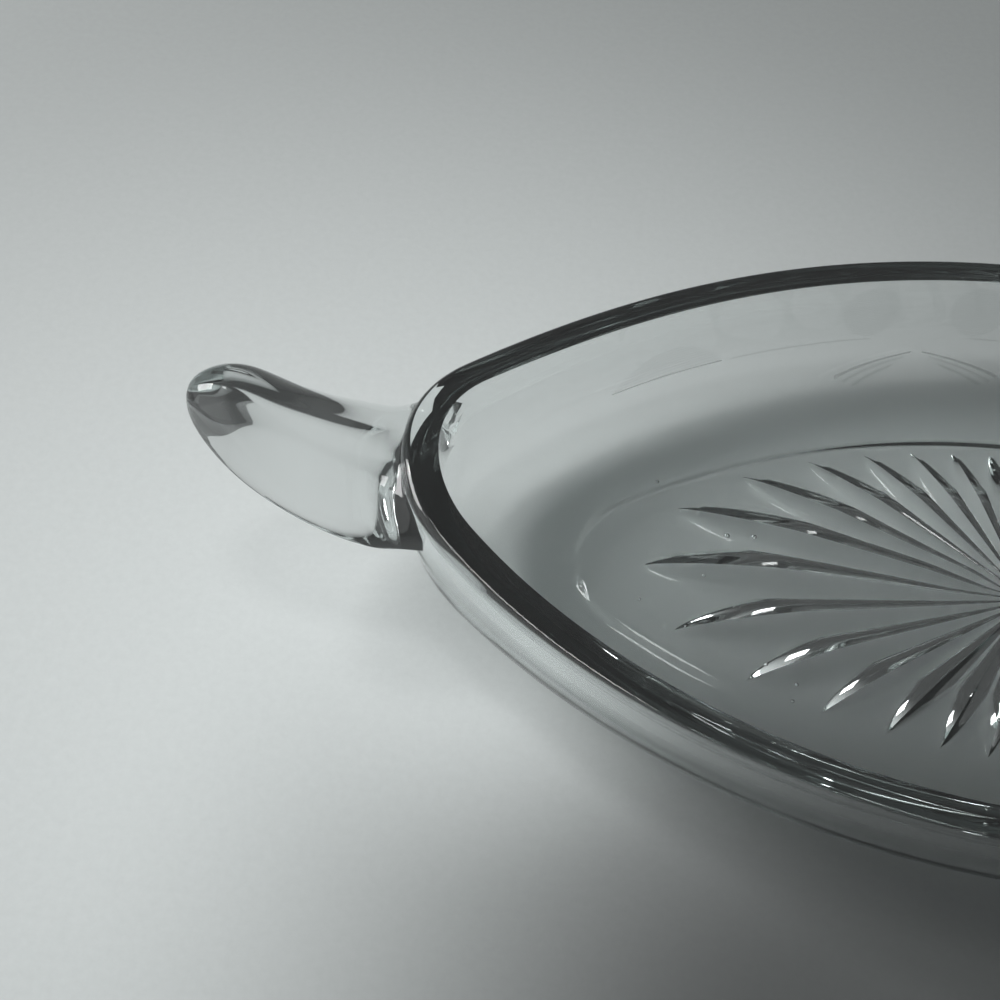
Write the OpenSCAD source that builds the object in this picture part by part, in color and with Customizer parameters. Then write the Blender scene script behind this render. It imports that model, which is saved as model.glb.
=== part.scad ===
// Oval relish dish of clear pressed glass, with a thumb tab at each end and a star in its underside.
// The dish is one pressing: a thick bowl with a flat-topped rim, and two tabs that grow out of its ends.
// The origin is on the table under the middle of the bowl, with the long axis along X and +Z up.

/* [Rim] */
// Length of the rim from end to end, without the tabs
rim_len = 200; // [180:1:230]
// Width of the rim across the middle
rim_w = 113; // [102:1:126]
// Height of the rim above the table at the long sides
rim_h = 24.5; // [22:0.5:30]
// How much higher the rim stands at its two ends
end_rise = 5; // [2:0.5:7]
// Radius of the rim's two ends, seen from above
rim_end_r = 26; // [22:1:32]
// Width of the rim's top, from its outer to its inner edge
rim_t = 5.5; // [4:0.5:7]
// Radius that rounds the rim's outer edge
rim_round = 1.4; // [0.8:0.1:2]
// Step between the rim's round edge and the wall below it, where the two halves of the mould meet
seam_step = 0.15; // [0.1:0.05:0.3]

/* [Bowl] */
// Thickness of the floor
floor_t = 7.5; // [6.5:0.5:9]
// Length of the floor inside
floor_len = 140; // [126:1:152]
// Width of the floor inside
floor_w = 62; // [54:1:68]
// Radius of the floor's two ends, seen from above
floor_end_r = 14; // [10:1:18]

/* [Foot] */
// Length of the foot
foot_len = 152; // [142:1:162]
// Width of the foot
foot_w = 73; // [68:1:80]
// Radius of the foot's two ends, seen from above
foot_end_r = 18; // [14:1:22]
// Width of the flat ring that the dish rests on
foot_ring = 4; // [3:0.5:5]
// Height of the star's panel above the table
panel_h = 0.6; // [0.4:0.1:1]

/* [Star] */
// Number of rays in the star
rays = 30; // [24:2:32]
// Length of the star from tip to tip
star_len = 122; // [104:1:130]
// Width of the star from tip to tip
star_w = 60; // [50:1:60]
// Deepest cut of a ray
ray_depth = 4; // [2:0.5:4.5]

/* [Tabs] */
// How far each tab reaches past the rim
tab_reach = 31.5; // [24:0.5:40]
// Width of a tab
tab_w = 26; // [20:1:28]
// Height of a tab's rounded back above its two edges
tab_crown = 8; // [6:0.5:9]
// Depth of a tab's edges below their widest line
tab_edge = 1.5; // [1:0.5:2.5]
// Depth of the channel under a tab
tab_channel = 5.5; // [3:0.5:6]
// Height of a tab's edges above the table where it leaves the bowl
tab_root_h = 19.2; // [18:0.2:20]
// How much higher the tip of a tab stands than its root
tab_lift = 14.4; // [8:0.2:18]
// Radius of the fillet between a tab and the bowl
tab_fillet = 3; // [2:0.5:5]

/* [Hidden] */

// Points round each ring of the bowl: the line of a ray, its two edges and the middle of the land between rays
ring_points = 4 * rays;
floor_top = panel_h + floor_t;
seam_z = rim_h - rim_round;

// Each outline of the bowl is an oval of four arcs: half length, half width and radius of the ends
rim_oval = [rim_len / 2, rim_w / 2, rim_end_r];
floor_oval = [floor_len / 2, floor_w / 2, floor_end_r];
foot_oval = [foot_len / 2, foot_w / 2, foot_end_r];

// How evenly the points lie round a ring: 1 spaces them by equal angles, less crowds them into the ends
foot_spread_share = 0.8;
rim_spread_share = 0.4;

// Profile of the outer wall from the foot to the upright collar under the rim.
// Each point is a share of the way out from the foot to the rim, and a share of the rim's height.
outer_wall_shares = [[0, 0], [0.44, 0.04], [0.91, 0.29], [0.985, 0.7]];
// Profile of the inner wall from the floor to the rim, in shares of the way out and of the way up
inner_wall_shares = [[0, 0], [0.87, 0], [0.93, 0.07], [1, 1]];
outer_step_shares = [0.14, 0.3, 0.46, 0.62, 0.76, 0.85, 0.93, 1];
inner_step_shares = [0.9, 0.8, 0.7, 0.6, 0.5, 0.38, 0.22, 0];
// Rings on the upright collar, as shares of its height
collar_step_shares = [0.3, 0.6, 0.85];
// The end rise fades towards the middle of the bowl and towards the foot
rise_power = 7;
rise_fade_power = 2;

// Rings of the star, as shares of the way from its middle to the tips of its rays
star_ring_shares = [0.1, 0.25, 0.42, 0.56, 0.66, 0.77, 0.87, 0.95, 1];
// A ray is as wide as its share of the circle up to here, and narrows to its tip beyond
ray_full_share = 0.66;
ray_width_share = 0.93;
ray_tip_power = 0.75;
// Depth of a ray as a share of half its width, up to ray_depth
ray_slope_share = 1.05;

// A tab's width falls off towards its tip, and its thickness swells into a knob before it rounds off
tab_width_power = 1.75;
tab_end_power = 6;
tab_lift_power = 1.75;
knob_share = 0.45;
knob_place_share = 0.76;
knob_length_share = 0.2;
// Roundness of a tab's section: a larger power gives a squarer corner
tab_top_power = 2;
tab_low_power = 7;
// Height of the flat crest along a tab, as a share of its crown
tab_flat_share = 0.97;
// How far the channel's sides reach in from a tab's edges, and how soon the channel starts past the root
channel_side_share = 0.85;
channel_start_power = 4;
tab_section_shares = [
    0.16, 0.23, 0.31, 0.39, 0.47, 0.55, 0.62, 0.69, 0.75, 0.79, 0.82, 0.84, 0.86, 0.89, 0.92, 0.95, 0.975, 0.99
];
fillet_steps = 4;
// The patch of outer wall that a tab grows from is a rounded octagon. It starts at this ring of the outer wall
// and ends at the seam, and each of its rows reaches this many points to each side of the long axis.
root_first_step = 6;
root_side = round(ring_points / 17);
root_cuts = [2, 1, 0, 0, 1, 2];
root_widest_row = 3;

function mix(from, to, share) = from * (1 - share) + to * share;
function inset(oval, by) = [oval[0] - by, oval[1] - by, oval[2] - by];

// Point at share t of a curve with four control points
function curve(p, t) =
    p[0] * pow(1 - t, 3) + p[1] * 3 * pow(1 - t, 2) * t + p[2] * 3 * (1 - t) * pow(t, 2) + p[3] * pow(t, 3);

// Distance from the middle of an oval of four arcs to its edge, at an angle from the long axis
function oval_reach(oval, angle) =
    let (
        along = abs(cos(angle)),
        across = abs(sin(angle)),
        end_x = oval[0] - oval[2],
        side_r = (pow(end_x, 2) + pow(oval[1], 2) - pow(oval[2], 2)) / (2 * (oval[1] - oval[2])),
        side_y = side_r - oval[1]
    )
    across * side_r * end_x > along * side_y * oval[2]
        ? sqrt(pow(side_r, 2) - pow(side_y * along, 2)) - side_y * across
        : end_x * along + sqrt(pow(oval[2], 2) - pow(end_x * across, 2));

// Angle of point i on a ring with the given spread
function spread_angle(i, spread) =
    let (turn = 360 * i / ring_points)
    atan2(spread * sin(turn), cos(turn));

// Height that the end rise adds at x on an oval, for a ring at height z
function rise(x, oval, z) =
    end_rise * pow(max(z, 0) / rim_h, rise_fade_power) * pow(abs(x) / oval[0], rise_power);

function oval_point(oval, z, spread, i) =
    let (
        angle = spread_angle(i, spread),
        reach = oval_reach(oval, angle),
        x = reach * cos(angle)
    )
    [x, reach * sin(angle), z + rise(x, oval, z)];

function oval_ring(level) = [for (i = [0:ring_points - 1]) oval_point(level[0], level[1], level[2], i)];

// The star: each ray is a V groove whose line is at a multiple of the ray angle
ray_angle = 360 / rays;
function star_reach(angle) = 1 / sqrt(pow(cos(angle) / (star_len / 2), 2) + pow(sin(angle) / (star_w / 2), 2));
function ray_half_angle(share) =
    let (narrowing = share > ray_full_share ? pow((1 - share) / (1 - ray_full_share), ray_tip_power) : 1)
    ray_angle / 2 * ray_width_share * narrowing;
function ray_line_depth(share, angle) =
    min(ray_depth, ray_slope_share * share * star_reach(angle) * sin(ray_half_angle(share)));
function star_point(share, ray, place) =
    let (
        half = ray_half_angle(share),
        line = ray * ray_angle,
        angle = line + [0, half, ray_angle / 2, ray_angle - half][place],
        reach = share * star_reach(angle)
    )
    [reach * cos(angle), reach * sin(angle), panel_h + (place == 0 ? ray_line_depth(share, line) : 0)];
function star_ring(share) = [for (ray = [0:rays - 1], place = [0:3]) star_point(share, ray, place)];

// Rings of the bowl from the star's panel out to the foot, up the outer wall and down the inner wall.
// Each is an oval, its height and its spread.
panel_oval = inset(foot_oval, foot_ring);
panel_levels = [
    [inset(foot_oval, foot_ring + panel_h), panel_h, foot_spread_share],
    [panel_oval, 0, foot_spread_share],
    [foot_oval, 0, foot_spread_share]
];
outer_levels = [
    for (t = outer_step_shares)
        let (p = curve(outer_wall_shares, t))
        [mix(foot_oval, rim_oval, p[0]), p[1] * rim_h, mix(foot_spread_share, rim_spread_share, t)]
];
wall_top = outer_levels[len(outer_levels) - 1];
seam_level = [inset(rim_oval, seam_step), seam_z, rim_spread_share];
collar_levels = [
    for (share = collar_step_shares)
        [mix(wall_top[0], seam_level[0], share), mix(wall_top[1], seam_z, share), rim_spread_share]
];
round_levels = [
    for (turn = [0, 30, 60, 90])
        [inset(rim_oval, rim_round * (1 - cos(turn))), seam_z + rim_round * sin(turn), rim_spread_share]
];
inner_oval = inset(rim_oval, rim_t);
inner_levels = [
    for (t = concat([1], inner_step_shares))
        let (p = curve(inner_wall_shares, t))
        [
            mix(floor_oval, inner_oval, p[0]),
            mix(floor_top, rim_h, p[1]),
            mix(foot_spread_share, rim_spread_share, t)
        ]
];
floor_ring_share = 0.5;
floor_level = [floor_oval * floor_ring_share, floor_top, foot_spread_share];

bowl_levels = concat(
    panel_levels, outer_levels, collar_levels, [seam_level], round_levels, inner_levels, [floor_level]
);
bowl_rings = concat(
    [for (share = star_ring_shares) star_ring(share)],
    [for (level = bowl_levels) oval_ring(level)]
);
ring_count = len(bowl_rings);

// Numbers of the bowl's points: the star's middle, the rings in turn, the floor's middle
function ring_id(ring, i) = 1 + ring * ring_points + (i + ring_points) % ring_points;

// First ring of the patch of outer wall that a tab grows from
root_ring = len(star_ring_shares) + len(panel_levels) + root_first_step;

// The two triangles of the four-sided face between points i and i + 1 of two rings. Their shared edge leans
// away from the tabs up to the tabs' widest row and towards them above it, so that it can edge their roots.
function leans_out(ring, i) =
    (floor(((i + ring_points) % ring_points) / rays) % 2 == 0) != (ring >= root_ring + root_widest_row);
function face_corners(ring, i, half) =
    let (low = [ring, i], low_next = [ring, i + 1], high = [ring + 1, i], high_next = [ring + 1, i + 1])
    leans_out(ring, i)
        ? (half == 0 ? [low, high, high_next] : [low, high_next, low_next])
        : (half == 0 ? [low, high, low_next] : [low_next, high, high_next]);

bowl_points = concat([[0, 0, panel_h]], [for (ring = bowl_rings, p = ring) p], [[0, 0, floor_top]]);
bowl_faces = concat(
    [for (i = [0:ring_points - 1]) [0, ring_id(0, i), ring_id(0, i + 1)]],
    [
        for (ring = [0:ring_count - 2], i = [0:ring_points - 1], half = [0, 1])
            [for (corner = face_corners(ring, i, half)) ring_id(corner[0], corner[1])]
    ],
    [
        for (i = [0:ring_points - 1])
            [len(bowl_points) - 1, ring_id(ring_count - 1, i + 1), ring_id(ring_count - 1, i)]
    ]
);

// A tab grows from the patch of the bowl's outer wall. A place on it is its row, which is a ring of the bowl,
// and its column, which is a point of that ring counted from the long axis.
root_rows = len(outer_step_shares) - root_first_step + len(collar_step_shares) + 1;
root_reach = [for (row = [0:root_rows - 1]) root_side - root_cuts[row]];
root_points = [
    for (row = [0:root_rows - 1], column = [-root_side:root_side])
        bowl_rings[root_ring + row][(column + ring_points) % ring_points]
];

function root_id(place) = place[0] * (2 * root_side + 1) + place[1] + root_side;
function on_root(place) = abs(place[1]) <= root_reach[place[0]];

// The edge of the patch in turn: along the bottom, up one side, back along the top and down the other side
edge_places = concat(
    [for (column = [-root_reach[0]:root_reach[0]]) [0, column]],
    [for (row = [1:root_rows - 2]) [row, root_reach[row]]],
    [for (column = [root_reach[root_rows - 1]:-1:-root_reach[root_rows - 1]]) [root_rows - 1, column]],
    [for (row = [root_rows - 2:-1:1]) [row, -root_reach[row]]]
);
edge_count = len(edge_places);

function tab_half_width(share) = tab_w / 2 * sqrt(1 - pow(share, tab_width_power));
function tab_middle_z(share) = tab_root_h + tab_lift * pow(share, tab_lift_power);
function tab_swell(share) =
    let (from_knob = (share - knob_place_share) / knob_length_share)
    sqrt(1 - pow(share, tab_end_power)) * (1 + knob_share * exp(-pow(from_knob, 2)));
function channel_depth(share) =
    tab_channel * (1 - pow(1 - share, channel_start_power)) * sqrt(1 - pow(share, 2));

// Point of a tab's section for one place on the edge of the patch: a rounded back with a flat crest above the
// widest line, and a thin edge and the channel below it
function section_point(share, place) =
    let (
        u = place[1] / root_side,
        v = 2 * place[0] / (root_rows - 1) - 1,
        power = v < 0 ? tab_low_power : tab_top_power,
        size = pow(pow(abs(u), power) + pow(abs(v), power), 1 / power),
        back = tab_crown * tab_swell(share) * min(v / size, tab_flat_share),
        edge = tab_edge * tab_swell(share) * v / size,
        raised = channel_depth(share) * min((1 - abs(u / size)) / channel_side_share, 1)
    )
    [
        rim_len / 2 + tab_reach * share,
        tab_half_width(share) * u / size,
        tab_middle_z(share) + (v < 0 ? edge + raised : back)
    ];

// The fillet turns from along the wall to along the tab
fillet_sections = [
    for (step = [1:fillet_steps])
        let (turn = 90 * step / fillet_steps, share = tab_fillet * (1 - cos(turn)) / tab_reach)
        [for (place = edge_places) mix(root_points[root_id(place)], section_point(share, place), sin(turn))]
];
tab_sections = [for (share = tab_section_shares) [for (place = edge_places) section_point(share, place)]];
sections = concat(fillet_sections, tab_sections);
tab_tip = [rim_len / 2 + tab_reach, 0, tab_middle_z(1)];

// Numbers of a tab's points: the patch, then the sections in turn, then the tip
function section_id(section, i) =
    let (at = i % edge_count)
    section == 0
        ? root_id(edge_places[at])
        : len(root_points) + (section - 1) * edge_count + at;

tab_points = concat(root_points, [for (section = sections, p = section) p], [tab_tip]);
tab_faces = concat(
    [
        for (row = [0:root_rows - 2], column = [-root_side:root_side - 1], half = [0, 1])
            let (
                corners = face_corners(root_ring + row, column, half),
                places = [for (corner = corners) [corner[0] - root_ring, corner[1]]]
            )
            if (on_root(places[0]) && on_root(places[1]) && on_root(places[2]))
                [root_id(places[0]), root_id(places[2]), root_id(places[1])]
    ],
    [
        for (section = [0:len(sections) - 1], i = [0:edge_count - 1], half = [0, 1])
            half == 0
                ? [section_id(section, i), section_id(section + 1, i), section_id(section + 1, i + 1)]
                : [section_id(section, i), section_id(section + 1, i + 1), section_id(section, i + 1)]
    ],
    [
        for (i = [0:edge_count - 1])
            [len(tab_points) - 1, section_id(len(sections), i + 1), section_id(len(sections), i)]
    ]
);

module tab() {
    polyhedron(points = tab_points, faces = tab_faces, convexity = 4);
}

module bowl() {
    color([0.80, 0.84, 0.83, 0.5])
        polyhedron(points = bowl_points, faces = bowl_faces, convexity = 8);
}

module handle_left() {
    color([0.72, 0.78, 0.77, 0.6])
        rotate([0, 0, 180])
            tab();
}

module handle_right() {
    color([0.72, 0.78, 0.77, 0.6])
        tab();
}

bowl();
handle_left();
handle_right();
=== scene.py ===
"""An oval relish dish of clear pressed glass on a sheet of pale paper.

The dish is one pressing, so the bowl and its two tabs are drawn here as one closed skin of glass. Its rings
run from the middle of the star underneath, out over the foot, up the outside, over the rim, down the inside
and in to the middle of the floor. Each tab then grows out of an opening in the outer wall. A spray of
leaves is wheel-cut into the inside of the far wall, and a few small bubbles lie in the glass of the floor.
"""
import math

import bpy
import numpy as np
from mathutils import Matrix, Vector


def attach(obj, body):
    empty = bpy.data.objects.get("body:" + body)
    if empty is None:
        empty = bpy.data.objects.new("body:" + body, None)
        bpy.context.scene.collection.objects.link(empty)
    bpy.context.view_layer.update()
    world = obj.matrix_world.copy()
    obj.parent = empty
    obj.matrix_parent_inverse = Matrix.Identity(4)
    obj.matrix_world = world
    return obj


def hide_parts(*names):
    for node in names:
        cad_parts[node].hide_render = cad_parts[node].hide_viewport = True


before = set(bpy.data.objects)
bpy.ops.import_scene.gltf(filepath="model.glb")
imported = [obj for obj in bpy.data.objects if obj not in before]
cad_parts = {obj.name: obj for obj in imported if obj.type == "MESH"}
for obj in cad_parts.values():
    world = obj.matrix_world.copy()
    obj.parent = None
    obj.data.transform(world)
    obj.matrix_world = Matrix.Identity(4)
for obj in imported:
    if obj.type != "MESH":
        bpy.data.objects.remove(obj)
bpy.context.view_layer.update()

bpy.ops.object.select_all(action="DESELECT")

MM = 0.001

# Sizes of the bowl in millimetres
RIM_LENGTH, RIM_WIDTH, RIM_HEIGHT, RIM_END_RADIUS = 200, 113, 24.5, 26
END_RISE, RISE_POWER, RISE_FADE = 5, 7, 2
RIM_THICKNESS, RIM_ROUND, SEAM_STEP = 5.5, 1.4, 0.15
FLOOR_LENGTH, FLOOR_WIDTH, FLOOR_END_RADIUS, FLOOR_TOP = 140, 62, 14, 8.1
FOOT_LENGTH, FOOT_WIDTH, FOOT_END_RADIUS = 152, 73, 18
FOOT_RING, FOOT_ROLL, PANEL_HEIGHT = 4, 1.6, 0.6
STAR_RAYS, STAR_LENGTH, STAR_WIDTH, RAY_DEPTH, RAY_SLOPE = 30, 122, 60, 4, 1.05
RAY_FULL, RAY_WIDTH, RAY_TIP, RAY_SOFT, RAY_LEAST = 0.66, 0.93, 0.75, 0.4, 0.03

# Sizes of a tab in millimetres, and how its sections swell and round off
TAB_REACH, TAB_WIDTH, TAB_ROOT, TAB_LIFT = 31.5, 26, 19.2, 14.4
TAB_CROWN, TAB_EDGE, TAB_FLAT, TAB_FILLET = 8, 1.5, 0.97, 3
TAB_TAPER, TAB_END, BACK_POWER, UNDERSIDE_POWER = 1.75, 6, 2, 7
CHANNEL_DEPTH, CHANNEL_SIDE, CHANNEL_ROUND, CHANNEL_END, CHANNEL_START = 5.5, 0.85, 1.7, 4, 4
KNOB_SWELL, KNOB_PLACE, KNOB_LENGTH = 0.45, 0.76, 0.2

# Small bubbles in the floor's glass: place and radius in millimetres
BUBBLES = [
    ((-59.8, 14.6, 6.6), 0.3), ((-48.5, 4.6, 6.6), 0.45), ((-44.2, 4.9, 6.6), 0.45),
    ((-42.8, -19.2, 6.6), 0.35), ((-38.3, -22.3, 6.6), 0.3), ((-39, -25.3, 6.6), 0.3),
    ((-62.1, -9.4, 6.8), 0.25), ((-52.1, -3.4, 6), 0.25), ((38.5, -9.4, 6.4), 0.45),
    ((51.2, 12.8, 6.6), 0.35), ((12.6, 24.1, 6.8), 0.3), ((-8.4, -25.2, 6.5), 0.4),
]
BUBBLE_TURNS, BUBBLE_CLIMBS = 16, 8

# The cut spray in millimetres along the wall and up it: the middle of its flower, and the cuts to one side.
# A leaf has the two ends of its cut edge, the height of its arch and the slant of its hatching. The petal
# has its middle, its radius and its slant.
FLOWER_X = -16
LEAVES = [((-68.2, 12.6), (-50, 12.8), 4.6, 0.05), ((-30.2, 9.1), (-17, 11), -1.2, 0.15)]
STEM, STEM_FROST = ((-48.4, 12.8), (-24.5, 13.1)), 0.85
PETAL = ((-25.2, 18.3), 4.8, -0.25)
CUT_WIDTH, HATCH_STEP, HATCH_FROST = 0.2, 0.45, 0.84

RIM_OVAL = np.array([RIM_LENGTH / 2, RIM_WIDTH / 2, RIM_END_RADIUS])
FLOOR_OVAL = np.array([FLOOR_LENGTH / 2, FLOOR_WIDTH / 2, FLOOR_END_RADIUS])
FOOT_OVAL = np.array([FOOT_LENGTH / 2, FOOT_WIDTH / 2, FOOT_END_RADIUS])
OUTER_CURVE = np.array([[0, 0], [0.44, 0.04], [0.91, 0.29], [0.985, 0.7]])
INNER_CURVE = np.array([[0, 0], [0.87, 0], [0.93, 0.07], [1, 1]])
FOOT_SPREAD, RIM_SPREAD = 0.8, 0.4

# Where the rings lie, as shares of the star's reach, the outer wall's curve, the seam's step and the floor
STAR_RINGS = [0.06, 0.25, 0.42, 0.56, 0.66, 0.77, 0.87, 0.95, 1]
OUTER_RINGS = [0, 0.14, 0.3, 0.46, 0.62, 0.76, 0.85, 0.93, 1]
ROOT_RING = 0.93
SEAM_RINGS = [0, 0.3, 0.6, 0.85, 1]
FLOOR_RINGS = [0.75, 0.5, 0.25]
STAR_FINER, ROLL_COUNT, ROUND_COUNT, INNER_COUNT = 3, 9, 11, 49
FILLET_COUNT, TAB_COUNT, TAB_CROWDING = 15, 57, 1.6

# Points across half a ray, as shares of its half width, and across half the land to the next ray
RAY_SIDE = [0, 0.3, 0.55, 0.72, 0.85, 0.95, 1.05]
LAND_SIDE = [0.3, 1]

# Each ring has sixteen points to a ray of the star, four times as many as the dish's plain solid
FINER = 4
RING_POINTS = 4 * STAR_RAYS * FINER
TURN = np.arange(RING_POINTS) * 2 * math.pi / RING_POINTS


def between(low, high, share):
    return low * (1 - share) + high * share


def curve_at(points, t):
    """Point at share t of a curve with four control points."""
    start = points[0] * (1 - t) ** 3 + points[1] * 3 * (1 - t) ** 2 * t
    return start + points[2] * 3 * (1 - t) * t**2 + points[3] * t**3


def finer_steps(steps, count):
    """The given steps with count - 1 more between each two."""
    places = np.arange((len(steps) - 1) * count + 1) / count
    return np.interp(places, np.arange(len(steps)), steps)


def oval_reach(oval, angle):
    """Distance from the middle of an oval of four arcs to its edge."""
    half_length, half_width, end_radius = oval
    along, across = abs(np.cos(angle)), abs(np.sin(angle))
    end_x = half_length - end_radius
    side_radius = (end_x**2 + half_width**2 - end_radius**2) / (2 * (half_width - end_radius))
    side_y = side_radius - half_width
    on_side = np.sqrt(side_radius**2 - (side_y * along) ** 2) - side_y * across
    on_end = end_x * along + np.sqrt(np.maximum(end_radius**2 - (end_x * across) ** 2, 0))
    return np.where(across * side_radius * end_x > along * side_y * end_radius, on_side, on_end)


def oval_ring(oval, height, spread):
    """A ring at a height, which climbs to its two ends. A spread under 1 crowds its points at the ends."""
    angle = np.arctan2(spread * np.sin(TURN), np.cos(TURN))
    reach = oval_reach(oval, angle)
    x, y = reach * np.cos(angle), reach * np.sin(angle)
    rise = END_RISE * (max(height, 0) / RIM_HEIGHT) ** RISE_FADE * (abs(x) / oval[0]) ** RISE_POWER
    return np.stack([x, y, height + rise], 1)


def star_reach(angle):
    return 1 / np.sqrt((np.cos(angle) / (STAR_LENGTH / 2)) ** 2 + (np.sin(angle) / (STAR_WIDTH / 2)) ** 2)


def star_ring(share):
    """One ring of the star: each ray is a V groove, whose sides roll softly into the land between rays."""
    ray_angle = 2 * math.pi / STAR_RAYS
    narrowing = ((1 - share) / (1 - RAY_FULL)) ** RAY_TIP if share > RAY_FULL else 1
    half = ray_angle / 2 * RAY_WIDTH * max(narrowing, RAY_LEAST)
    side = half * np.array(RAY_SIDE)
    right = np.concatenate([side, between(side[-1], ray_angle / 2, np.array(LAND_SIDE))])
    offsets = np.concatenate([right, ray_angle - right[-2:0:-1]])
    lines = np.repeat(np.arange(STAR_RAYS) * ray_angle, len(offsets))
    angle = lines + np.tile(offsets, STAR_RAYS)
    nearest = np.round(angle / ray_angle) * ray_angle
    depth = np.minimum(RAY_DEPTH, RAY_SLOPE * share * star_reach(nearest) * math.sin(half))
    slope = 1 - abs(angle - nearest) / half
    slope = (slope + np.sqrt(slope**2 + RAY_SOFT**2)) / 2
    reach = share * star_reach(angle)
    cut = depth * slope if share < 1 else 0 * slope
    return np.stack([reach * np.cos(angle), reach * np.sin(angle), PANEL_HEIGHT + cut], 1)


def section_loop(share, across, up):
    """Edge of a tab's section: a rounded back with a flat crest, thin edges and a channel underneath."""
    power = np.where(up < 0, UNDERSIDE_POWER, BACK_POWER)
    size = (abs(across) ** power + abs(up) ** power) ** (1 / power)
    across, up = across / size, up / size
    half_width = TAB_WIDTH / 2 * math.sqrt(1 - share**TAB_TAPER)
    swell = 1 + KNOB_SWELL * math.exp(-(((share - KNOB_PLACE) / KNOB_LENGTH) ** 2))
    height = np.where(up < 0, TAB_EDGE, TAB_CROWN) * math.sqrt(1 - share**TAB_END) * swell
    channel = CHANNEL_DEPTH * (1 - (1 - share) ** CHANNEL_START) * math.sqrt(1 - share**CHANNEL_END)
    inward = np.minimum((1 - abs(across)) / CHANNEL_SIDE, 1)
    raised = np.where(up < 0, channel * (1 - (1 - inward) ** CHANNEL_ROUND), 0)
    x = np.full(len(across), RIM_LENGTH / 2 + TAB_REACH * share)
    z = TAB_ROOT + TAB_LIFT * share**TAB_TAPER + height * np.minimum(up, TAB_FLAT) + raised
    return np.stack([x, half_width * across, z], 1)


def dish_rings():
    """Every ring of the bowl, and the numbers of the first ring of a tab's root and of the inner wall."""
    rings = [star_ring(share) for share in finer_steps(STAR_RINGS, STAR_FINER)]
    panel = FOOT_OVAL - FOOT_RING
    rings.append(between(rings[-1], oval_ring(panel - FOOT_ROLL, PANEL_HEIGHT, FOOT_SPREAD), 0.5))
    for share in np.linspace(-1, 1, ROLL_COUNT):
        roll = (1 - math.sin(share * math.pi / 2)) / 2
        rings.append(oval_ring(panel + FOOT_ROLL * share, PANEL_HEIGHT * roll, FOOT_SPREAD))
    rings.append(oval_ring(FOOT_OVAL, 0, FOOT_SPREAD))

    for t in finer_steps(OUTER_RINGS, FINER)[1:]:
        out, up = curve_at(OUTER_CURVE, t)
        if math.isclose(t, ROOT_RING):
            root_ring = len(rings)
        wall_oval, wall_height = between(FOOT_OVAL, RIM_OVAL, out), up * RIM_HEIGHT
        rings.append(oval_ring(wall_oval, wall_height, between(FOOT_SPREAD, RIM_SPREAD, t)))
    seam_height = RIM_HEIGHT - RIM_ROUND
    for share in finer_steps(SEAM_RINGS, FINER)[1:]:
        oval = between(wall_oval, RIM_OVAL - SEAM_STEP, share)
        rings.append(oval_ring(oval, between(wall_height, seam_height, share), RIM_SPREAD))

    for turn in np.radians(np.linspace(0, 90, ROUND_COUNT)):
        inset = RIM_ROUND * (1 - math.cos(turn))
        rings.append(oval_ring(RIM_OVAL - inset, seam_height + RIM_ROUND * math.sin(turn), RIM_SPREAD))
    rings.append(oval_ring(RIM_OVAL - (RIM_ROUND + RIM_THICKNESS) / 2, RIM_HEIGHT, RIM_SPREAD))

    inner_ring = len(rings)
    for t in np.linspace(1, 0, INNER_COUNT):
        out, up = curve_at(INNER_CURVE, t)
        oval = between(FLOOR_OVAL, RIM_OVAL - RIM_THICKNESS, out)
        height = between(FLOOR_TOP, RIM_HEIGHT, up)
        rings.append(oval_ring(oval, height, between(FOOT_SPREAD, RIM_SPREAD, t)))
    for share in FLOOR_RINGS:
        rings.append(oval_ring(FLOOR_OVAL * share, FLOOR_TOP, FOOT_SPREAD))
    return rings, root_ring, inner_ring


# How far each row of a tab's root reaches to each side of the long axis, in points of a ring
ROOT_REACH = finer_steps([5, 6, 7, 7, 6, 5], FINER) * FINER
ROOT_SIDE = 7 * FINER


def root_edge():
    """The edge of a tab's root in turn, as rows and columns: along its bottom, up, back and down."""
    reach = [int(round(r)) for r in ROOT_REACH]
    last = len(reach) - 1
    edge = [(0, column) for column in range(-reach[0], reach[0] + 1)]
    edge += [(row, reach[row]) for row in range(1, last)]
    edge += [(last, column) for column in range(reach[last], -reach[last] - 1, -1)]
    edge += [(row, -reach[row]) for row in range(last - 1, 0, -1)]
    return edge


def tab_loops(start, across, up):
    """The loops of a tab from its root's edge: a fillet, then its sections, closer towards its tip."""
    loops = []
    for turn in np.radians(np.linspace(0, 90, FILLET_COUNT)[1:]):
        share = TAB_FILLET * (1 - math.cos(turn)) / TAB_REACH
        loops.append(between(start, section_loop(share, across, up), math.sin(turn)))
    for step in np.linspace(0, 1, TAB_COUNT)[1:-1]:
        share = 1 - (1 - TAB_FILLET / TAB_REACH) * (1 - step) ** TAB_CROWDING
        loops.append(section_loop(share, across, up))
    return loops


def bubble(place, radius):
    """A round bubble, whose faces point into its hollow."""
    rings = []
    turn = np.arange(BUBBLE_TURNS) * 2 * math.pi / BUBBLE_TURNS
    for climb in np.linspace(-math.pi / 2, math.pi / 2, BUBBLE_CLIMBS + 1)[1:-1]:
        out, height = math.cos(climb), np.full(BUBBLE_TURNS, math.sin(climb))
        rings.append(np.stack([out * np.cos(turn), out * np.sin(turn), height], 1))
    corners = np.concatenate([[[0, 0, -1]]] + rings + [[[0, 0, 1]]]) * radius + place
    last = len(corners) - 1
    faces = []
    for i in range(BUBBLE_TURNS):
        j = (i + 1) % BUBBLE_TURNS
        faces.append((1 + i, 1 + j, 0))
        faces.append((last - BUBBLE_TURNS + j, last - BUBBLE_TURNS + i, last))
        for ring in range(len(rings) - 1):
            low = 1 + ring * BUBBLE_TURNS
            high = low + BUBBLE_TURNS
            faces.append((high + i, high + j, low + j, low + i))
    return corners, faces


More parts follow.
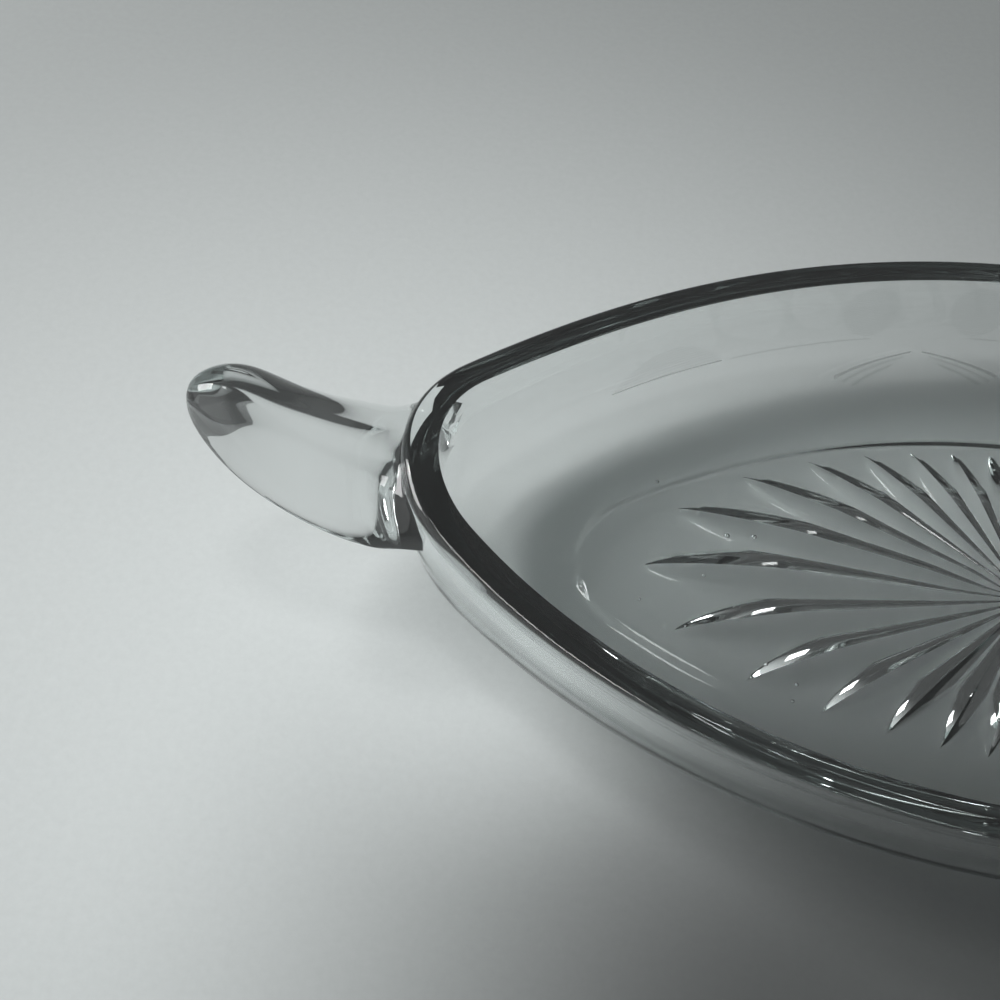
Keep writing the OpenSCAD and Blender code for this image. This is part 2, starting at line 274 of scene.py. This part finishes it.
# Height on the wall's map of everything that isn't on the inside of the far wall, in millimetres
OFF_MAP = 900


def dish_skin():
    """The points of the dish in millimetres, its faces, and its map of the far wall's inside."""
    rings, root_ring, inner_ring = dish_rings()
    points = np.concatenate([[[0, 0, PANEL_HEIGHT]]] + rings + [[[0, 0, FLOOR_TOP]]])
    bottom, top = 0, len(points) - 1

    def number(ring, i):
        return 1 + ring * RING_POINTS + i % RING_POINTS

    def in_root(ring, i):
        """Whether a point is inside the root of either tab."""
        row = ring - root_ring
        column = (i + RING_POINTS // 4) % (RING_POINTS // 2) - RING_POINTS // 4
        return 0 <= row < len(ROOT_REACH) and abs(column) <= ROOT_REACH[row] + 1e-6

    faces = []
    for i in range(RING_POINTS):
        faces.append((bottom, number(0, i + 1), number(0, i)))
        faces.append((top, number(len(rings) - 1, i), number(len(rings) - 1, i + 1)))
    for ring in range(len(rings) - 1):
        for i in range(RING_POINTS):
            corners = [(ring, i), (ring, i + 1), (ring + 1, i + 1), (ring + 1, i)]
            cut = [in_root(*corner) for corner in corners]
            if sum(cut) == 4:
                continue
            if sum(cut) == 3:
                gap = cut.index(False)
                corners = [corners[(gap - 1) % 4], corners[gap], corners[(gap + 1) % 4]]
            faces.append(tuple(number(*corner) for corner in corners))

    edge = root_edge()
    across = np.array([column / ROOT_SIDE for _, column in edge])
    up = np.array([2 * row / (len(ROOT_REACH) - 1) - 1 for row, _ in edge])
    tip = np.array([[RIM_LENGTH / 2 + TAB_REACH, 0, TAB_ROOT + TAB_LIFT]])
    count = len(edge)
    for end, turn in ((0, 1), (RING_POINTS // 2, -1)):
        root = [number(root_ring + row, column + end) for row, column in edge]
        loops = tab_loops(points[root] * [turn, turn, 1], across, up)
        first = len(points)
        points = np.concatenate([points] + [loop * [turn, turn, 1] for loop in loops + [tip]])
        rows = [root] + [list(range(first + k * count, first + (k + 1) * count)) for k in range(len(loops))]
        for low, high in zip(rows, rows[1:]):
            for i in range(count):
                j = (i + 1) % count
                faces.append((low[i], low[j], high[j], high[i]))
        for i in range(count):
            faces.append((len(points) - 1, rows[-1][i], rows[-1][(i + 1) % count]))

    # The inside of the far wall carries its length and height as its own map
    wall_map = np.stack([points[:, 0], points[:, 2] + OFF_MAP], 1)
    inner = slice(number(inner_ring, 0), top)
    wall_map[inner, 1] -= np.where(points[inner, 1] > 0, OFF_MAP, 0)

    for place, radius in BUBBLES:
        corners, sides = bubble(place, radius)
        faces += [tuple(len(points) + corner for corner in side) for side in sides]
        points = np.concatenate([points, corners])
        wall_map = np.concatenate([wall_map, np.full((len(corners), 2), OFF_MAP)])
    return points, faces, wall_map


# The map's unit is 100 mm, and edges that turn by less than so many degrees are shaded smooth
MAP_UNIT, SMOOTH_ANGLE = 100, 24


def make_dish():
    points, faces, wall_map = dish_skin()
    used = np.zeros(len(points), bool)
    for face in faces:
        used[list(face)] = True
    renumber = (np.cumsum(used) - 1).tolist()
    faces = [tuple(renumber[point] for point in face) for face in faces]
    mesh = bpy.data.meshes.new("glass_dish")
    mesh.from_pydata((points[used] * MM).tolist(), [], faces)
    corner_points = np.empty(len(mesh.loops), int)
    mesh.loops.foreach_get("vertex_index", corner_points)
    wall_layer = mesh.uv_layers.new(name="wall")
    wall_layer.data.foreach_set("uv", (wall_map[used][corner_points] / MAP_UNIT).ravel())
    dish = bpy.data.objects.new("glass_dish", mesh)
    bpy.context.scene.collection.objects.link(dish)
    dish.select_set(True)
    bpy.context.view_layer.objects.active = dish
    bpy.ops.object.shade_smooth_by_angle(angle=math.radians(SMOOTH_ANGLE))
    dish.select_set(False)
    return dish


class Value:
    """A socket of a material that can be used in sums."""

    def __init__(self, tree, socket):
        self.tree, self.socket = tree, socket

    def math(self, operation, *others):
        node = self.tree.nodes.new("ShaderNodeMath")
        node.operation = operation
        for place, value in enumerate((self, *others)):
            if isinstance(value, Value):
                self.tree.links.new(value.socket, node.inputs[place])
            else:
                node.inputs[place].default_value = value
        return Value(self.tree, node.outputs[0])

    def __add__(self, other):
        return self.math("ADD", other)

    def __radd__(self, other):
        return self.math("ADD", other)

    def __sub__(self, other):
        return self.math("SUBTRACT", other)

    def __rsub__(self, other):
        return (self * -1).math("ADD", other)

    def __mul__(self, other):
        return self.math("MULTIPLY", other)

    def __truediv__(self, other):
        return self.math("DIVIDE", other)

    def __pow__(self, other):
        return self.math("POWER", other)

    def __abs__(self):
        return self.math("ABSOLUTE")

    def above(self, other):
        return self.math("GREATER_THAN", other)

    def below(self, other):
        return self.math("LESS_THAN", other)


class Finish:
    """A material and the few calls that make its nodes."""

    def __init__(self, name):
        self.material = bpy.data.materials.new(name)
        self.material.use_nodes = True
        self.tree = self.material.node_tree
        self.tree.nodes.clear()
        self.output = self.tree.nodes.new("ShaderNodeOutputMaterial")

    def node(self, kind, settings=None, **sockets):
        """A node with its settings, and a value or a link in each socket, given by its name or _number."""
        node = self.tree.nodes.new("ShaderNode" + kind)
        for key, value in (settings or {}).items():
            setattr(node, key, value)
        for key, value in sockets.items():
            socket = node.inputs[int(key[1:])] if key[1:].isdigit() else node.inputs[key.replace("_", " ")]
            if isinstance(value, Value):
                self.tree.links.new(value.socket, socket)
            else:
                socket.default_value = value
        return node

    def value(self, node, output=0):
        return Value(self.tree, node.outputs[output])

    def place(self):
        """The place of each point on the object, in metres."""
        return self.value(self.node("TexCoord"), "Object")

    def mix(self, share, first, second):
        """A colour between two."""
        return self.value(self.node("Mix", {"data_type": "RGBA"}, _0=share, _6=first, _7=second), 2)

    def noise(self, scale, detail, roughness):
        return self.value(
            self.node("TexNoise", Vector=self.place(), Scale=scale, Detail=detail, Roughness=roughness)
        )

    def bump(self, height, strength, distance):
        return self.value(self.node("Bump", Strength=strength, Distance=distance, Height=height))

    def surface(self, **sockets):
        shader = self.node("BsdfPrincipled", **sockets)
        self.tree.links.new(shader.outputs[0], self.output.inputs["Surface"])


def cut_spray(finish):
    """How frosted the wheel-cut spray inside the far wall is: 1 in a cut line, 0 on clear glass."""
    wall = finish.node("SeparateXYZ", Vector=finish.value(finish.node("UVMap", {"uv_map": "wall"})))
    along, up = finish.value(wall, "X") * MAP_UNIT, finish.value(wall, "Y") * MAP_UNIT
    # The spray is the same on both sides of its flower
    along = FLOWER_X - abs(along - FLOWER_X)

    def line(start, end):
        """A straight cut, with the share of its length and the height over it of each place."""
        share = (along - start[0]) / (end[0] - start[0])
        rise = up - (share * (end[1] - start[1]) + start[1])
        return abs(rise).below(CUT_WIDTH / 2) * share.above(0) * share.below(1), share, rise

    def hatching(slant):
        """Fine parallel cuts that climb by the slant for each millimetre along."""
        wave = ((up - along * slant) * (2 * math.pi / HATCH_STEP)).math("SINE")
        return wave * (HATCH_FROST / 2) + HATCH_FROST / 2

    frost = line(*STEM)[0] * STEM_FROST
    for start, end, arch, slant in LEAVES:
        edge, share, rise = line(start, end)
        height = rise / arch
        inside = height.above(0) * height.below(share * (1 - share) * 4)
        frost = frost + inside * hatching(slant) + edge
    middle, radius, slant = PETAL
    away = ((along - middle[0]) ** 2 + (up - middle[1]) ** 2) ** 0.5
    return (frost + away.below(radius) * hatching(slant)).math("MINIMUM", 1)


# How far a cut turns the glass to the frosted tint: a share for all frosting, and one for its deepest lines
CLEAR_TINT, FROST_TINT = (0.975, 0.985, 0.983, 1), (0.4, 0.42, 0.42, 1)
FROST_SHARE, LINE_SHARE, FROST_ROUGHNESS = 0.32, 0.4, 0.3


def glass_finish():
    """Clear fire-polished glass with a faint drift in its surface and a frosted spray cut into it."""
    finish = Finish("clear_glass")
    frost = cut_spray(finish)
    tint = finish.mix(frost * FROST_SHARE + frost**4 * LINE_SHARE, CLEAR_TINT, FROST_TINT)
    drift = finish.noise(scale=22.0, detail=2.0, roughness=0.5)
    finish.surface(
        Base_Color=tint, Roughness=frost * FROST_ROUGHNESS, IOR=1.52, Transmission_Weight=0.98,
        Normal=finish.bump(drift, strength=0.25, distance=0.0004),
    )
    body = finish.node("VolumeAbsorption", Color=(0.3, 0.42, 0.4, 1), Density=14.0)
    finish.tree.links.new(body.outputs[0], finish.output.inputs["Volume"])
    return finish.material


# Light and shade are painted into the paper's colour in soft patches: a painted pool of light that dims
# away from the tab, a painted shadow along the dish's near side, painted light that lifts that shadow near
# the left end of the rim, and painted light under the dish's floor. Each has its middle and the two
# distances that it fades between, in metres, its strength, how many times shorter it is across the dish
# than along it, and by what share distances to the right of its middle are cut.
PAINTED_POOL_FALLOFF = 0.56
PAINTED_LIGHT_POOL = ((-0.067, -0.039), 0.0, 0.224, PAINTED_POOL_FALLOFF, 1, 0)
PAINTED_NEAR_SHADOW = ((-0.028, -0.081), 0.016, 0.118, 0.857, 1, 0.6)
PAINTED_LIGHT_LEFT_END = ((-0.088, -0.016), 0.0, 0.045, 0.7, 1, 0)
PAINTED_LIGHT_UNDER_FLOOR = ((0, 0), 0.055, 0.1, 0.3, 2, 0)
MOTTLE = 0.12
BLACK, PAPER_COLOUR = (0.0, 0.0, 0.0, 1), (0.72, 0.755, 0.75, 1)


def paper_with_painted_shading():
    """Pale paper with painted light and shade in its colour: a painted pool of light dims away from the
    tab, and a painted shadow lies along the dish's near side.
    """
    finish = Finish("pale_paper_painted_shading")
    along = finish.node("SeparateXYZ", Vector=finish.place())

    def painted_patch(middle, near, far, strength, narrower, right_cut):
        """A soft patch of painted light and shade, which fades from its strength to nothing."""
        x, y = (finish.value(along, axis) - place for axis, place in zip("XY", middle))
        x = x - x.math("MAXIMUM", 0) * right_cut
        away = (x**2 + (y * narrower) ** 2) ** 0.5
        fading = finish.node(
            "MapRange", {"interpolation_type": "SMOOTHSTEP"}, Value=away,
            From_Min=near, From_Max=far, To_Min=strength, To_Max=0.0,
        )
        return finish.value(fading)

    # A painted pool of light, which dims away from the tab
    painted_pool = painted_patch(*PAINTED_LIGHT_POOL) + (1 - PAINTED_POOL_FALLOFF)
    # A painted shadow along the dish's near side, lifted by painted light near the left end of the rim
    painted_shadow = painted_patch(*PAINTED_NEAR_SHADOW) * (1 - painted_patch(*PAINTED_LIGHT_LEFT_END))
    mottle = (1 + MOTTLE / 2) - finish.noise(scale=700.0, detail=3.0, roughness=0.7) * MOTTLE
    # Painted light under the dish's floor, with the paper's random mottle
    painted_tone_with_mottle = painted_pool * (1 - painted_shadow) * (1 + painted_patch(*PAINTED_LIGHT_UNDER_FLOOR)) * mottle
    grain = finish.noise(scale=180.0, detail=6.0, roughness=0.6)
    # The painted light and shade scale the paper's colour down towards black
    finish.surface(
        Base_Color=finish.mix(painted_tone_with_mottle, BLACK, PAPER_COLOUR), Roughness=0.85,
        Normal=finish.bump(grain, strength=0.15, distance=0.0003),
    )
    return finish.material


dish = make_dish()
dish.data.materials.append(glass_finish())
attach(dish, "root")
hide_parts("bowl", "handle_left", "handle_right")

# The paper lies a little under the foot
PAPER_SIZE, PAPER_DROP = 6, 0.0003
bpy.ops.mesh.primitive_plane_add(size=PAPER_SIZE, location=(0, 0, -PAPER_DROP))
paper = bpy.context.object
paper.name = "paper_floor"
paper.data.materials.append(paper_with_painted_shading())
paper.select_set(False)

# Lamps: place, target and width of the square in metres, and power in watts
LAMPS = {
    "window": ((-0.55, 0.11, 0.35), (-0.1, 0, 0), 0.3, 2.77),
    "glint_lamp": ((-0.42, 0.2, 0.4), (-0.1, 0, 0), 0.08, 0.35),
    "top_lamp": ((-0.2, 0.03, 0.62), (-0.05, 0, 0), 0.12, 0.35),
}


def area_light(name, place, target, width, power):
    light = bpy.data.lights.new(name, "AREA")
    light.shape = "SQUARE"
    light.size = width
    light.energy = power
    lamp = bpy.data.objects.new(name, light)
    bpy.context.scene.collection.objects.link(lamp)
    lamp.location = place
    lamp.rotation_euler = (Vector(target) - Vector(place)).to_track_quat("-Z", "Y").to_euler()


for name, settings in LAMPS.items():
    area_light(name, *settings)


# The direction that the room is brightest in, and how its light rises with how near a place lies to it
BRIGHT_SIDE = (-0.844, -0.447, 0.298)
ROOM_COLOUR, BACKDROP_COLOUR = (0.96, 1, 1, 1), (0.62, 0.65, 0.65, 1)
ROOM_LIGHT = {"From Min": 0.3, "From Max": 0.95, "To Min": 0.06, "To Max": 1.05}


def light_room():
    """The room: soft light from low on the left and the near side, and an even backdrop for the camera."""
    world = bpy.data.worlds.new("room")
    bpy.context.scene.world = world
    world.use_nodes = True
    tree = world.node_tree
    tree.nodes.clear()
    place = tree.nodes.new("ShaderNodeTexCoord")
    facing = tree.nodes.new("ShaderNodeVectorMath")
    facing.operation = "DOT_PRODUCT"
    facing.inputs[1].default_value = BRIGHT_SIDE
    tree.links.new(place.outputs["Generated"], facing.inputs[0])
    level = tree.nodes.new("ShaderNodeMapRange")
    level.interpolation_type = "SMOOTHSTEP"
    for socket, value in ROOM_LIGHT.items():
        level.inputs[socket].default_value = value
    tree.links.new(facing.outputs["Value"], level.inputs["Value"])
    room = tree.nodes.new("ShaderNodeBackground")
    room.inputs["Color"].default_value = ROOM_COLOUR
    tree.links.new(level.outputs["Result"], room.inputs["Strength"])
    backdrop = tree.nodes.new("ShaderNodeBackground")
    backdrop.inputs["Color"].default_value = BACKDROP_COLOUR
    seen = tree.nodes.new("ShaderNodeLightPath")
    mix = tree.nodes.new("ShaderNodeMixShader")
    tree.links.new(seen.outputs["Is Camera Ray"], mix.inputs[0])
    tree.links.new(room.outputs[0], mix.inputs[1])
    tree.links.new(backdrop.outputs[0], mix.inputs[2])
    output = tree.nodes.new("ShaderNodeOutputWorld")
    tree.links.new(mix.outputs[0], output.inputs["Surface"])


light_room()

# Camera, as the dish was photographed: from above its near side, turned a little. Angles are in radians,
# the place in metres, and the lens and the sensor's width in millimetres.
AZIMUTH, ELEVATION, ROLL = 0.01368, 0.87973, 0.08316
CAMERA_PLACE, LENS, SENSOR_WIDTH = (-0.08255, -0.16603, 0.2174), 61.32, 36

level_back = Vector((math.sin(AZIMUTH), -math.cos(AZIMUTH), 0))
back = level_back * math.cos(ELEVATION) + Vector((0, 0, math.sin(ELEVATION)))
right = (-back).cross(Vector((0, 0, 1))).normalized()
up = right.cross(-back)
tilted_right = right * math.cos(ROLL) + up * math.sin(ROLL)
tilted_up = up * math.cos(ROLL) - right * math.sin(ROLL)
camera_data = bpy.data.cameras.new("camera")
camera_data.sensor_width = SENSOR_WIDTH
camera_data.lens = LENS
camera_data.clip_start = 0.01
camera = bpy.data.objects.new("camera", camera_data)
bpy.context.scene.collection.objects.link(camera)
turned = Matrix((tilted_right, tilted_up, back)).transposed().to_4x4()
camera.matrix_world = Matrix.Translation(CAMERA_PLACE) @ turned
bpy.context.scene.camera = camera

bpy.context.scene.view_settings.view_transform = "Standard"
